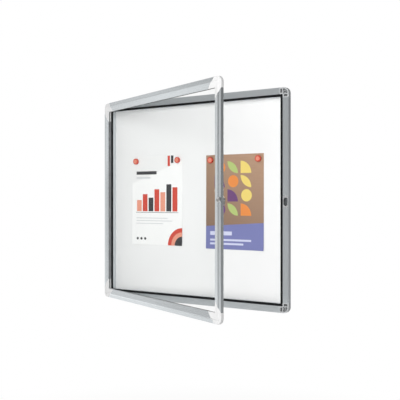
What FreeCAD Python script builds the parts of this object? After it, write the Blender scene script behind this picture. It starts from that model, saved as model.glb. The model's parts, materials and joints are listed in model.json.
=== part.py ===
import FreeCAD, Part
import math
import os

# Lockable wall notice board: a shallow case with a magnetic panel and a glazed door on its left edge.
# Millimetres. X runs to the right, Y into the wall, Z up. The origin is the centre of the four wall
# screws, on the wall's face. Everything is drawn with the door closed, and the door is then swung open.

# Overall size
board_width = 709.0
board_height = 668.0
base_depth = 26.0
door_gap = 1.0
open_angle = 22.5

# Case extrusion: u is measured inward from the outer edge, w forward from the wall
base_face = 20.0
base_wall = 1.4
seal_width = 7.5
seal_seat = 2.2
seal_crown = 0.6
seal_play = 0.1
reveal = 16.6
groove_floor = 21.0
side_depth = 13.4
bevel_inset = 7.0
edge_break = 0.8
fine_break = 0.4

# Panel stack, from the front
sheet_thickness = 0.6
core_thickness = 6.0
back_thickness = 0.4
panel_play = 0.3
stack_play = 0.1

# Case corner mouldings
corner_leg = 30.0
corner_radius = 18.0
moulding_wall = 2.0
rim_width = 4.0
pocket_depth = 3.0
pocket_end = 18.5
slot_start = 21.0
slot_end = 27.5
slot_reach = 16.0
screw_inset = 13.0
wall_screw_radius = 2.5
screw_boss_radius = 5.0
boss_drop = 1.0
rib_thickness = 1.6
rib_drop = 1.0
spigot_length = 24.0
spigot_play = 0.2

# Door extrusion: s is measured inward from the outer edge, t forward from the door's back
door_face = 30.0
door_wall = 1.4
door_edge = 10.4
facet_width = 9.6
facet_height = 10.6
ridge_inset = 13.6
ridge_height = 12.4
lip_height = 9.8
back_lip = 3.1
glass_groove = 23.0

# Glazing
pane_thickness = 4.0
gasket_wall = 0.3
gasket_edge = 1.2

# Door corner caps
cap_edge_length = 33.0
cap_radius = 17.0
cap_wall = 2.0
cap_chords = 2
cap_spigot_end = 70.0

# Hinge: the axis is inside the door's rounded back edge
hinge_inset = 4.0
pin_radius = 1.5
pin_play = 0.05
pin_start = 9.0
pin_end = 31.0
ear_start = 17.0
ear_thickness = 6.0
ear_radius = 3.2
ear_root = 4.0
ear_play = 0.4
ear_swing_play = 0.5
hinge_block = 9.0

# Lock and keeper
lock_inset = 10.3
lock_rise = 1.2
head_radius = 8.0
head_proud = 1.1
plug_drop = 1.2
barrel_radius = 5.8
barrel_reach = 4.9
clip_thickness = 0.6
clip_width = 14.8
plug_radius = 4.5
plug_play = 0.05
keyway_height = 6.4
keyway_width = 1.8
keyway_depth = 9.0
tang_radius = 3.2
tang_flat = 2.4
tang_play = 0.05
cam_gap = 0.3
cam_thickness = 2.5
cam_hub_radius = 5.0
cam_tip_radius = 4.0
cam_reach = 15.0
cam_screw_radius = 1.5
cam_screw_head = 3.0
cam_screw_head_height = 1.5
cam_screw_length = 5.0
hole_play = 0.1
keeper_slot_width = 13.4
keeper_slot_length = 25.0
keeper_slot_drop = 6.0
keeper_width = 16.2
keeper_length = 35.0
keeper_flange_length = 47.0
keeper_flange = 2.0

# Sheets and magnets on the panel
sheet_width = 210.0
sheet_height = 297.0
paper_thickness = 0.25
left_sheet = (-147.0, -1.0)
right_sheet = (157.0, -5.6)
magnet_radius = 10.0
magnet_height = 7.0
magnet_inset_x = 18.0
magnet_inset_z = 16.0

# Values that follow from the sizes above
base_inner = base_face + seal_width
panel_front = base_depth - reveal
stack_thickness = sheet_thickness + core_thickness + back_thickness
back_leg = panel_front - stack_thickness - stack_play
panel_edge = groove_floor + panel_play
door_back = base_depth + door_gap
groove_front = back_lip + pane_thickness + 2 * gasket_wall
pane_edge = glass_groove + gasket_edge
hinge_x = -board_width / 2 + hinge_inset
hinge_w = door_back + hinge_inset
lock_x = board_width / 2 - lock_inset
lock_front = ridge_height + head_proud
cam_front = -barrel_reach - cam_gap
cam_back = cam_front - cam_thickness
far = 200.0
over = 1.0

side_turn = {"bottom": 0.0, "hinge": 90.0, "top": 180.0, "lock": 270.0}
corner_turn = {"bottom_hinge": 0.0, "top_hinge": 90.0, "top_lock": 180.0, "bottom_lock": 270.0}
vector = FreeCAD.Vector
y_axis = vector(0, 1, 0)
forward = vector(0, -1, 0)


def in_case_section(point):
    """Place (u, w) in the section plane of a rail that runs along X at the bottom."""
    return vector(0, -point.y, point.x)


def in_door_section(point):
    """Place (s, t) in the section plane of a door rail that runs along X at the bottom."""
    return vector(0, -door_back - point.y, point.x)


def in_front(point):
    """Place (x, z) in the wall's plane."""
    return vector(point.x, 0, point.y)


def outline(corners, place):
    """Close a wire through (x, y, radius) corners; a corner with a radius is a tangent arc."""
    turns = []
    for index, (x, y, radius) in enumerate(corners):
        here = vector(x, y, 0)
        before = vector(corners[index - 1][0], corners[index - 1][1], 0)
        after = vector(corners[(index + 1) % len(corners)][0], corners[(index + 1) % len(corners)][1], 0)
        back = (before - here).normalize()
        ahead = (after - here).normalize()
        if radius <= 0:
            turns.append((here, here, None))
            continue
        half = back.getAngle(ahead) / 2
        reach = radius / math.tan(half)
        inward = (back + ahead).normalize()
        middle = here + inward * (radius / math.sin(half) - radius)
        turns.append((here + back * reach, here + ahead * reach, middle))
    edges = []
    for index, (start, finish, middle) in enumerate(turns):
        if middle is not None:
            edges.append(Part.Arc(place(start), place(middle), place(finish)).toShape())
        following = turns[(index + 1) % len(turns)][0]
        if (following - finish).Length > 1e-6:
            edges.append(Part.makeLine(place(finish), place(following)))
    return Part.Wire(edges)


def face(corners, place):
    """Fill an outline."""
    return Part.Face(outline(corners, place))


def bevelled(corners):
    """Cut each corner that has a third value back by it along both of its sides."""
    points = []
    for index, (x, y, cut) in enumerate(corners):
        here = vector(x, y, 0)
        for x1, y1, _ in (corners[index - 1], corners[(index + 1) % len(corners)]):
            point = here + (vector(x1, y1, 0) - here).normalize() * cut
            points.append((point.x, point.y, 0))
        if cut == 0:
            points.pop()
    return points


def sharp(corners):
    """Drop the third values of a list of corners."""
    return [(x, y, 0) for x, y, _ in corners]


def rectangle(x0, x1, y0, y1):
    """Corners of a plain rectangle."""
    return [(x0, y0, 0), (x1, y0, 0), (x1, y1, 0), (x0, y1, 0)]


def block(x0, x1, w0, w1, z0, z1):
    """Box between two distances from the wall."""
    return Part.makeBox(x1 - x0, w1 - w0, z1 - z0, vector(x0, -w1, z0))


def rod(x, z, radius, w0, w1):
    """Round bar square to the wall, between two distances from it."""
    return Part.makeCylinder(radius, w1 - w0, vector(x, -w0, z), forward)


def front_prism(corners, w0, w1):
    """Prism with its outline in the front view, between two distances from the wall."""
    prism = face(corners, in_front).extrude(forward * (w1 - w0))
    prism.translate(forward * w0)
    return prism


def turned(points, x, z):
    """Round piece from (radius, w) corners about an axis square to the wall."""
    wire = outline([(radius, w, 0) for radius, w in points], lambda p: vector(x + p.x, -p.y, z))
    return Part.Face(wire).revolve(vector(x, 0, z), y_axis, 360)


def side_run(side):
    """Length of one side of the board."""
    return board_width if side in ("bottom", "top") else board_height


def to_side(shape, side):
    """Move a piece drawn for the bottom edge, with that edge at z = 0, to a side of the board."""
    placed = shape.copy()
    reach = board_height if side in ("bottom", "top") else board_width
    placed.translate(vector(0, 0, -reach / 2))
    placed.rotate(vector(0, 0, 0), y_axis, side_turn[side])
    return placed


def to_corner(shape, corner):
    """Move a piece drawn in a corner with its edges on +X and +Z to a corner of the board."""
    placed = shape.copy()
    placed.rotate(vector(0, 0, 0), y_axis, corner_turn[corner])
    x = -board_width / 2 if "hinge" in corner else board_width / 2
    z = board_height / 2 if "top" in corner else -board_height / 2
    placed.translate(vector(x, 0, z))
    return placed


def across_corner(shape):
    """Mirror a piece of a corner from one leg to the other."""
    return shape.mirror(vector(0, 0, 0), vector(1, 0, -1))


def square_run(section, side, lead):
    """Extrude a section along one side with square ends, each a lead away from the board's edge."""
    run = side_run(side)
    bar = section.extrude(vector(run - 2 * lead, 0, 0))
    bar.translate(vector(lead - run / 2, 0, 0))
    return bar


def mitred_run(section, side, lead, width):
    """Extrude a section along one side with mitred ends that start a lead away from the edge."""
    half = side_run(side) / 2 - lead
    bar = section.extrude(vector(2 * half, 0, 0))
    bar.translate(vector(-half, 0, 0))
    ends = [(-half, 0, 0), (half, 0, 0), (half - width, width, 0), (width - half, width, 0)]
    return bar.common(front_prism(ends, 0, far))


def case_section_corners():
    """Outline of the case extrusion."""
    return [
        (0, base_depth, edge_break),
        (base_face, base_depth, fine_break),
        (base_face, base_depth - seal_seat, 0),
        (base_inner, base_depth - seal_seat, fine_break),
        (base_inner, panel_front, 0),
        (groove_floor, panel_front, 0),
        (groove_floor, back_leg, 0),
        (base_inner, back_leg, 0),
        (base_inner, 0, 0),
        (bevel_inset, 0, 0),
        (0, base_depth - side_depth, edge_break),
    ]


def case_chambers():
    """Hollows of the case extrusion, either side of the web that the panel rests on."""
    inner = face(sharp(case_section_corners()), in_case_section).makeOffset2D(-base_wall, join=2)
    web = face(rectangle(0, groove_floor, panel_front, panel_front + base_wall), in_case_section)
    return inner.cut(web)


def case_section():
    """Hollow section of the case extrusion."""
    return face(bevelled(case_section_corners()), in_case_section).cut(case_chambers())


def case_spigot_section():
    """Bar that fills the front chamber above the bevel."""
    left = base_wall + spigot_play
    right = base_face - base_wall - spigot_play
    low = base_depth - side_depth + base_wall
    high = base_depth - base_wall - spigot_play
    return face(rectangle(left, right, low, high), in_case_section)


def keeper_place():
    """Distance of the keeper's centre above the board's middle."""
    return lock_rise - keeper_slot_drop


def case_member(side):
    """One hollow rail or stile of the case, with the keeper's opening on the lock side."""
    member = to_side(square_run(case_section(), side, corner_leg), side)
    if side == "lock":
        half_width = keeper_width / 2 + hole_play
        half_length = keeper_length / 2 + hole_play
        opening = block(lock_x - half_width, lock_x + half_width, base_depth - base_wall - over,
                        base_depth + over, keeper_place() - half_length, keeper_place() + half_length)
        member = member.cut(opening)
    return member


def corner_outline(inset, end, inner):
    """L-shaped outline of a case corner, drawn in by an inset on its outer sides."""
    return [
        (end, inset, 0),
        (inset, inset, corner_radius - inset),
        (inset, end, 0),
        (inner, end, 0),
        (inner, inner, 0),
        (end, inner, 0),
    ]


def corner_legs(section, radius, edge_length):
    """Run a section along both legs of a corner, from its rounding to a mitred end."""
    width = section.BoundBox.ZMax
    long_end = edge_length + width
    leg = section.extrude(vector(long_end - radius, 0, 0))
    leg.translate(vector(radius, 0, 0))
    ends = [(radius, -over, 0), (edge_length - over, -over, 0), (long_end, width, 0), (radius, width, 0)]
    leg = leg.common(front_prism(ends, -far, far))
    return leg.fuse(across_corner(leg))


def corner_sweep(section, radius, edge_length):
    """Run a section along both legs of a corner and turn its outer part round the corner."""
    outer = section.common(block(-over, over, -far, far, -over, radius))
    outer.translate(vector(radius, 0, 0))
    bend = outer.revolve(vector(radius, 0, radius), y_axis, 90)
    return corner_legs(section, radius, edge_length).fuse(bend).removeSplitter()


def corner_body():
    """Solid form of a case corner, whose outer sides follow the extrusion's outline."""
    taper_end = base_depth - side_depth
    waste = [
        (-over, -over, 0),
        (bevel_inset, -over, 0),
        (bevel_inset, 0, 0),
        (0, taper_end, 0),
        (-over, taper_end, 0),
    ]
    body = front_prism(corner_outline(0, corner_leg, base_inner), 0, base_depth)
    return body.cut(corner_sweep(face(waste, in_case_section), corner_radius, corner_leg + over))


def front_edges(shape, w):
    """Edges that lie in one plane parallel to the wall."""
    boxes = [(edge, edge.BoundBox) for edge in shape.Edges]
    return [edge for edge, box in boxes if abs(box.YMin + w) < 1e-4 and abs(box.YMax + w) < 1e-4]


def bevelled_front(shape):
    """Break the outer front edge of a case corner."""
    def is_outer(box):
        return min(box.XMax, box.ZMax) < corner_radius + edge_break
    edges = [edge for edge in front_edges(shape, base_depth) if is_outer(edge.BoundBox)]
    return shape.makeChamfer(edge_break, edges)


def corner_pockets():
    """Recesses in the front of a case corner: one round the screw boss and a slot in each leg."""
    floor = base_depth - pocket_depth
    top = base_depth + over
    round_pocket = [
        (rim_width, rim_width, corner_radius - rim_width),
        (pocket_end, rim_width, 0),
        (pocket_end, pocket_end, 0),
        (rim_width, pocket_end, 0),
    ]
    pocket = front_prism(round_pocket, floor, top)
    boss = rod(screw_inset, screw_inset, screw_boss_radius, floor, base_depth - boss_drop)
    slot = block(slot_start, slot_end, floor, top, rim_width, slot_reach)
    return [pocket.cut(boss), slot, across_corner(slot)]


def screw_hole():
    """Clearance hole for the wall screw."""
    return rod(screw_inset, screw_inset, wall_screw_radius, -over, base_depth + over)


def corner_hollow():
    """Open back of a case corner, with a square boss for the screw and two ribs left standing."""
    end = corner_leg - moulding_wall
    inner = groove_floor - moulding_wall
    top = base_depth - pocket_depth - moulding_wall
    foot = front_prism(corner_outline(bevel_inset + moulding_wall, end, inner), -over, top)
    wide = corner_outline(moulding_wall, end, inner)
    hollow = front_prism(wide, base_depth - side_depth, top).fuse(foot)
    low = screw_inset - screw_boss_radius
    high = screw_inset + screw_boss_radius
    boss = block(low, high, -over, base_depth, low, high)
    rib_side = screw_inset - rib_thickness / 2
    rib_x = block(rib_side, rib_side + rib_thickness, rib_drop, base_depth, 0, corner_leg)
    rib_z = block(0, corner_leg, rib_drop, base_depth, rib_side, rib_side + rib_thickness)
    return hollow.cut(boss).cut(rib_x).cut(rib_z)


def hinge_ear(corner):
    """Ear on a hinge-side case corner that carries the pin."""
    ear = block(hinge_x - ear_radius, hinge_x + ear_radius, base_depth - ear_root, hinge_w, 0, ear_thickness)
    knuckle = Part.makeCylinder(ear_radius, ear_thickness, vector(hinge_x, -hinge_w, 0))
    bore = Part.makeCylinder(pin_radius + pin_play, ear_thickness + 2 * over,
                             vector(hinge_x, -hinge_w, -over))
    ear = ear.fuse(knuckle).cut(bore).removeSplitter()
    ear.translate(vector(0, 0, height_from_end(corner, ear_start, ear_thickness)))
    return ear


def height_from_end(corner, start, length):
    """Lower end of something that starts a distance in from the board's top or bottom edge."""
    if "top" in corner:
        return board_height / 2 - start - length
    return start - board_height / 2


def case_corner(corner):
    """One moulded case corner with its spigots."""
    body = bevelled_front(corner_body())
    end = corner_leg + over
    seat = block(base_face, end, base_depth - seal_seat, base_depth + over, base_face, end)
    groove = block(groove_floor, end, back_leg, panel_front, groove_floor, end)
    body = body.cut([seat, groove, corner_hollow()] + corner_pockets())
    spigot = case_spigot_section().extrude(vector(spigot_length + moulding_wall, 0, 0))
    spigot.translate(vector(corner_leg - moulding_wall, 0, 0))
    body = body.fuse([spigot, across_corner(spigot)]).cut(screw_hole())
    placed = to_corner(body, corner)
    if "hinge" in corner:
        placed = placed.fuse(hinge_ear(corner))
    return placed.removeSplitter()


def seal_strip(side):
    """Rubber strip with a crowned face, on the seat at the case's inner edge."""
    low = base_depth - seal_seat
    shoulder = base_depth - seal_crown
    crown = base_depth + seal_crown
    left = base_face + seal_play
    right = base_inner - seal_play
    points = [(left, shoulder), (left, low), (right, low), (right, shoulder)]
    ends = [in_case_section(vector(u, w, 0)) for u, w in points]
    top = in_case_section(vector((left + right) / 2, crown, 0))
    edges = [Part.makeLine(ends[index], ends[index + 1]) for index in range(3)]
    edges.append(Part.Arc(ends[3], top, ends[0]).toShape())
    section = Part.Face(Part.Wire(edges))
    return to_side(mitred_run(section, side, 0, base_inner), side)


def panel_layer(front, thickness):
    """One rectangular layer of the panel stack."""
    half_width = board_width / 2 - panel_edge
    half_height = board_height / 2 - panel_edge
    return block(-half_width, half_width, front - thickness, front, -half_height, half_height)


def keeper():
    """Insert in the lock stile: oval slot, face flush with the stile, flange behind its wall."""
    z = keeper_place()
    under = base_depth - base_wall
    left = lock_x - keeper_width / 2
    right = lock_x + keeper_width / 2
    front = block(left, right, under, base_depth, z - keeper_length / 2, z + keeper_length / 2)
    flange = block(left, right, under - keeper_flange, under,
                   z - keeper_flange_length / 2, z + keeper_flange_length / 2)
    body = front.fuse(flange)
    end_radius = keeper_slot_width / 2
    end_reach = keeper_slot_length / 2 - end_radius
    ends = [rod(lock_x, z + hand * end_reach, end_radius, 0, base_depth + over) for hand in (-1, 1)]
    middle = block(lock_x - end_radius, lock_x + end_radius, 0, base_depth + over,
                   z - end_reach, z + end_reach)
    return body.cut(ends[0].fuse([ends[1], middle])).removeSplitter()


def notice(place):
    """One sheet on the panel."""
    x, z = place
    half_width = sheet_width / 2
    half_height = sheet_height / 2
    return block(x - half_width, x + half_width, panel_front, panel_front + paper_thickness,
                 z - half_height, z + half_height)


def magnet(x, z):
    """Round magnet on a sheet."""
    foot = panel_front + paper_thickness
    return rod(x, z, magnet_radius, foot, foot + magnet_height)


def magnets():
    """Four magnets, at the top corners of the two sheets."""
    reach_x = sheet_width / 2 - magnet_inset_x
    reach_z = sheet_height / 2 - magnet_inset_z
    pieces = []
    for x, z in (left_sheet, right_sheet):
        for hand in (-1, 1):
            pieces.append(magnet(x + hand * reach_x, z + reach_z))
    return Part.makeCompound(pieces)


def door_section_corners():
    """Outline of the door extrusion, with its ridge and the pane's groove."""
    return [
        (0, 0, 0),
        (0, door_edge, edge_break),
        (facet_width, facet_height, 0),
        (ridge_inset, ridge_height, 0),
        (door_face, lip_height, edge_break),
        (door_face, groove_front, 0),
        (glass_groove, groove_front, 0),
        (glass_groove, back_lip, 0),
        (door_face, back_lip, 0),
        (door_face, 0, fine_break),
    ]


def ridge_line(s):
    """Height of the door's face above its back, a distance in from the outer edge."""
    knees = sharp(door_section_corners())[1:5]
    for (s0, t0, _), (s1, t1, _) in zip(knees, knees[1:]):
        if s <= s1:
            return t0 + (t1 - t0) * (s - s0) / (s1 - s0)
    return lip_height


def rounded_back(corners):
    """Fill a section of the door, with its outer back edge rounded about the hinge's axis."""
    return face([(0, 0, hinge_inset)] + corners[1:], in_door_section)


def chorded_back(corners):
    """Fill a section of a door cap, whose outer back edge follows the same rounding in chords."""
    turns = [math.pi / 2 * step / cap_chords for step in range(cap_chords + 1)]
    chords = [(hinge_inset * (1 - math.sin(turn)), hinge_inset * (1 - math.cos(turn)), 0) for turn in turns]
    return face(chords + corners[1:], in_door_section)


def door_chamber():
    """Hollow of the door extrusion, outside the pane's groove."""
    inner = rounded_back(sharp(door_section_corners())).makeOffset2D(-door_wall, join=2)
    keep = face(rectangle(0, glass_groove - door_wall, 0, ridge_height), in_door_section)
    return inner.common(keep)


def door_member(side):
    """One hollow rail or stile of the door."""
    section = rounded_back(bevelled(door_section_corners())).cut(door_chamber())
    member = to_side(mitred_run(section, side, cap_edge_length, door_face), side)
    if side == "lock":
        seat = door_back + door_wall
        pocket = rod(lock_x, lock_rise, head_radius + hole_play, seat, seat + far)
        hole = rod(lock_x, lock_rise, barrel_radius + hole_play, door_back - over, seat + over)
        member = member.cut([pocket, hole])
    return member


def cap_hollow():
    """Open back of a door cap: faceted under its straight legs and flat under its rounding."""
    inner = glass_groove - cap_wall
    shoulder = ridge_line(cap_wall) - cap_wall
    corners = [
        (cap_wall, -over, 0),
        (cap_wall, shoulder, 0),
        (facet_width, facet_height - cap_wall, 0),
        (ridge_inset, ridge_height - cap_wall, 0),
        (inner, ridge_line(inner) - cap_wall, 0),
        (inner, -over, 0),
    ]
    section = face(corners, in_door_section)
    legs = corner_legs(section, cap_radius, cap_edge_length - cap_wall * math.sqrt(2))
    turn = front_prism([
        (cap_wall, cap_wall, cap_radius - cap_wall),
        (cap_radius, cap_wall, 0),
        (cap_radius, inner, 0),
        (inner, inner, 0),
        (inner, cap_radius, 0),
        (cap_wall, cap_radius, 0),
    ], door_back - over, door_back + shoulder)
    return legs.fuse(turn)


def cap_spigot():
    """Bar on a door cap's leg that slides into the rail's chamber."""
    low = door_back + door_wall + spigot_play
    high = door_back + door_edge - door_wall - spigot_play
    right = glass_groove - door_wall - spigot_play
    bar = block(cap_edge_length, cap_spigot_end, low, high, hinge_inset, right)
    relief = block(cap_edge_length + door_face, cap_spigot_end + over, low - over, high - cap_wall,
                   hinge_inset + cap_wall, right - cap_wall)
    return bar.cut(relief)


def hinge_pin(corner):
    """Steel pin in a hinge-side door cap."""
    z = height_from_end(corner, pin_start, pin_end - pin_start)
    return Part.makeCylinder(pin_radius, pin_end - pin_start, vector(hinge_x, -hinge_w, z))


def door_cap(corner):
    """One moulded corner cap of the door, with the hinge's housing on the hinge side."""
    section = chorded_back(bevelled(door_section_corners()[:5] + [(door_face, 0, fine_break)]))
    solid_form = corner_sweep(section, cap_radius, cap_edge_length)
    end = cap_edge_length + door_face + over
    groove = block(glass_groove, end, door_back + back_lip, door_back + groove_front, glass_groove, end)
    body = solid_form.cut([cap_hollow(), groove])
    spigot = cap_spigot()
    body = body.fuse([spigot, across_corner(spigot)])
    placed = to_corner(body, corner)
    if "hinge" not in corner:
        return placed.removeSplitter()
    side = -board_width / 2
    start = height_from_end(corner, pin_start - cap_wall, pin_end - pin_start + 2 * cap_wall)
    length = pin_end - pin_start + 2 * cap_wall
    housing = block(side, side + hinge_block, door_back, door_back + far, start, start + length)
    placed = placed.fuse(to_corner(solid_form, corner).common(housing))
    slot_start_z = height_from_end(corner, ear_start - ear_play, ear_thickness + 2 * ear_play)
    reach = ear_radius + ear_swing_play
    ear_slot = block(side - over, hinge_x + reach, door_back - over, hinge_w + reach,
                     slot_start_z, slot_start_z + ear_thickness + 2 * ear_play)
    return placed.cut([ear_slot, hinge_pin(corner)]).removeSplitter()


def pane():
    """Glazing pane, held in the groove all round."""
    half_width = board_width / 2 - pane_edge
    half_height = board_height / 2 - pane_edge
    back = door_back + back_lip + gasket_wall
    return block(-half_width, half_width, back, back + pane_thickness, -half_height, half_height)


def gasket_strip(side):
    """Channel strip between the pane's edge and the groove."""
    low = back_lip
    high = groove_front
    corners = [
        (glass_groove, low, 0),
        (door_face, low, 0),
        (door_face, low + gasket_wall, 0),
        (pane_edge, low + gasket_wall, 0),
        (pane_edge, high - gasket_wall, 0),
        (door_face, high - gasket_wall, 0),
        (door_face, high, 0),
        (glass_groove, high, 0),
    ]
    return to_side(mitred_run(face(corners, in_door_section), side, 0, door_face), side)


def lock_housing():
    """Fixed body of the lock: head in the stile's face, barrel through its back."""
    bore = plug_radius + plug_play
    points = [
        (bore, -barrel_reach),
        (barrel_radius, -barrel_reach),
        (barrel_radius, door_wall),
        (head_radius, door_wall),
        (head_radius, lock_front),
        (bore, lock_front),
    ]
    return turned([(radius, door_back + t) for radius, t in points], lock_x, lock_rise)


def lock_clip():
    """Spring clip behind the door's back that grips the barrel, open at its top."""
    low = door_back - clip_thickness
    half = clip_width / 2
    plate = block(lock_x - half, lock_x + half, low, door_back, lock_rise - half, lock_rise + half)
    slot = block(lock_x - barrel_radius, lock_x + barrel_radius, low - over, door_back + over,
                 lock_rise, lock_rise + half + over)
    return plate.cut([rod(lock_x, lock_rise, barrel_radius, low - over, door_back + over), slot])


def tang(grow):
    """Two-flat end of the plug that turns the cam."""
    bar = rod(lock_x, lock_rise, tang_radius + grow, door_back + cam_back, door_back + cam_front)
    flats = block(lock_x - tang_flat - grow, lock_x + tang_flat + grow, 0, far,
                  lock_rise - tang_radius - over, lock_rise + tang_radius + over)
    return bar.common(flats)


def lock_plug():
    """Turning plug with its keyway, drawn in the unlocked place."""
    front = lock_front - plug_drop
    plug = rod(lock_x, lock_rise, plug_radius, door_back + cam_front, door_back + front)
    keyway = block(lock_x - keyway_width / 2, lock_x + keyway_width / 2,
                   door_back + front - keyway_depth, door_back + front + over,
                   lock_rise - keyway_height / 2, lock_rise + keyway_height / 2)
    thread = rod(lock_x, lock_rise, cam_screw_radius, door_back + cam_back - over,
                 door_back + cam_back + cam_screw_length)
    return plug.fuse(tang(0)).cut([keyway, thread]).removeSplitter()


def lock_cam():
    """Cam on the plug's tang, hanging down when unlocked."""
    low = door_back + cam_back
    high = door_back + cam_front
    tip = lock_rise - cam_reach + cam_tip_radius
    hub = rod(lock_x, lock_rise, cam_hub_radius, low, high)
    end = rod(lock_x, tip, cam_tip_radius, low, high)
    arm = block(lock_x - cam_tip_radius, lock_x + cam_tip_radius, low, high, tip, lock_rise)
    return hub.fuse([end, arm]).cut(tang(tang_play)).removeSplitter()


def cam_screw():
    """Screw that holds the cam on the plug."""
    seat = door_back + cam_back
    head = rod(lock_x, lock_rise, cam_screw_head, seat - cam_screw_head_height, seat)
    shank = rod(lock_x, lock_rise, cam_screw_radius, seat, seat + cam_screw_length)
    return head.fuse(shank).removeSplitter()


def swung(shape):
    """Turn a piece of the door about the hinge to the open place."""
    opened = shape.copy()
    opened.rotate(vector(hinge_x, -hinge_w, 0), vector(0, 0, 1), -open_angle)
    return opened


def case_pieces():
    """Every piece that stays on the wall."""
    pieces = {}
    for side in side_turn:
        kind = "rail" if side in ("bottom", "top") else "stile"
        pieces[f"case_{kind}_{side}"] = case_member(side)
        pieces[f"seal_{side}"] = seal_strip(side)
    for corner in corner_turn:
        pieces[f"case_corner_{corner}"] = case_corner(corner)
    core_front = panel_front - sheet_thickness
    pieces["panel_sheet"] = panel_layer(panel_front, sheet_thickness)
    pieces["panel_core"] = panel_layer(core_front, core_thickness)
    pieces["panel_back"] = panel_layer(core_front - core_thickness, back_thickness)
    pieces["keeper"] = keeper()
    pieces["notice_left"] = notice(left_sheet)
    pieces["notice_right"] = notice(right_sheet)
    pieces["magnets"] = magnets()
    return pieces


def door_pieces():
    """Every piece that swings with the door, drawn closed."""
    pieces = {}
    for side in side_turn:
        kind = "rail" if side in ("bottom", "top") else "stile"
        pieces[f"door_{kind}_{side}"] = door_member(side)
        pieces[f"gasket_{side}"] = gasket_strip(side)
    for corner in corner_turn:
        pieces[f"door_cap_{corner}"] = door_cap(corner)
    for corner in ("top_hinge", "bottom_hinge"):
        pieces[f"hinge_pin_{corner.split('_')[0]}"] = hinge_pin(corner)
    pieces["pane"] = pane()
    pieces["lock_housing"] = lock_housing()
    pieces["lock_clip"] = lock_clip()
    pieces["lock_plug"] = lock_plug()
    pieces["lock_cam"] = lock_cam()
    pieces["cam_screw"] = cam_screw()
    return pieces


def build():
    """Write one STEP file for each piece."""
    os.makedirs("parts", exist_ok=True)
    pieces = case_pieces()
    for name, shape in door_pieces().items():
        pieces[name] = swung(shape)
    for name, shape in pieces.items():
        shape.exportStep(f"parts/{name}.step")
        print(name, len(shape.Solids), "solid", round(shape.Volume / 1000, 2), "cm3", shape.isValid())


build()
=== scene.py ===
"""Finishes, printed sheets, lock, magnets and studio for a lockable wall notice board."""

import json
import math

import bmesh
import bpy
from mathutils import Matrix, Vector


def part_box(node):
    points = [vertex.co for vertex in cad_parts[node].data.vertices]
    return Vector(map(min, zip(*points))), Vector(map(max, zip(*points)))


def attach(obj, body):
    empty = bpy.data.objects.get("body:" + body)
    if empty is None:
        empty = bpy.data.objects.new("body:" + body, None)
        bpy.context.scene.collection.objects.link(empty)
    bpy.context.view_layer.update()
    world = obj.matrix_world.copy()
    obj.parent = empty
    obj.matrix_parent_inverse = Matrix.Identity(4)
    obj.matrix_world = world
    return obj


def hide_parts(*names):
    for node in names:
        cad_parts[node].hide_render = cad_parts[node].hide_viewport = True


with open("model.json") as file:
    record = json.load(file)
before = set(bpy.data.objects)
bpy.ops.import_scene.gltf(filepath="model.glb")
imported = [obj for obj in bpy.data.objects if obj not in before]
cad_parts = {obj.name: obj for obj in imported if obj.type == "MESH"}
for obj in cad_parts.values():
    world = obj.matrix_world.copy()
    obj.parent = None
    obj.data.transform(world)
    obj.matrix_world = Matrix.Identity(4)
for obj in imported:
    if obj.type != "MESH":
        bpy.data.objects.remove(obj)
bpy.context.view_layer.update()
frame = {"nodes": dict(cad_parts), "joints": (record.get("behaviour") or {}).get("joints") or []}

bl_info = {
    "name": "Lockable Notice Board",
    "version": (1, 0, 0),
    "blender": (4, 5, 0),
    "location": "3D View > Sidebar > Notice Board",
    "description": "Dresses the packed parts of a wall notice board with a hinged, glazed door",
    "category": "Object",
}

MM = 0.001
SAME_PLACE = 1e-6
NOISE_LOW = 0.3
NOISE_HIGH = 0.7
DARKER = 0.93
JOINTS = {joint["name"]: joint for joint in frame["joints"]}
HINGE = JOINTS["door_swing"]
HINGE_POINT = Vector(HINGE["pos_m"])
SHUT_ANGLE = math.radians(min(HINGE["range_deg"]))
LOCK = JOINTS["lock_turn"]
SIDES = ("bottom", "hinge", "top", "lock")
CORNERS = ("bottom_hinge", "top_hinge", "top_lock", "bottom_lock")


def colour_property(name, description, default):
    """A colour that the user may change."""
    return bpy.props.FloatVectorProperty(
        name=name, description=description, default=default, size=3,
        min=0.0, max=1.0, subtype="COLOR"
    )


def length_property(name, description, default):
    """A length in metres that the user may change."""
    return bpy.props.FloatProperty(
        name=name, description=description, default=default, min=0.0, precision=5,
        unit="LENGTH"
    )


def power_property(name, description, default):
    """The power of a lamp in watts that the user may change."""
    return bpy.props.FloatProperty(
        name=name, description=description, default=default, min=0.0, unit="POWER"
    )


class NoticeBoardColours(bpy.types.PropertyGroup):
    """Colours of the board's finishes."""

    aluminium: colour_property("Aluminium", "Satin anodised extrusions", (0.70, 0.735, 0.755))
    case_corner: colour_property("Case corners", "Grey mouldings of the case", (0.47, 0.48, 0.49))
    door_cap: colour_property("Door caps", "Pale mouldings of the door", (0.68, 0.68, 0.68))
    seal: colour_property("Seal", "Black rubber round the case", (0.006, 0.006, 0.007))
    gasket: colour_property("Gasket", "Rubber round the pane", (0.24, 0.245, 0.25))
    enamel: colour_property("Enamel", "White magnetic sheet", (0.87, 0.87, 0.87))
    glass: colour_property("Pane", "Clear glazing", (0.95, 0.955, 0.952))
    keeper: colour_property("Keeper", "Grey insert for the lock's cam", (0.36, 0.365, 0.37))
    chrome: colour_property("Lock", "Bright plated lock", (0.72, 0.72, 0.71))
    zinc: colour_property("Fasteners", "Zinc plated pins and screws", (0.55, 0.55, 0.53))
    magnet: colour_property("Magnets", "Red plastic round the magnets", (0.62, 0.075, 0.045))
    magnet_centre: colour_property("Magnet centres", "Paler dished centre", (0.78, 0.28, 0.19))
    paper: colour_property("Paper", "Unprinted paper", (0.93, 0.93, 0.925))


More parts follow.
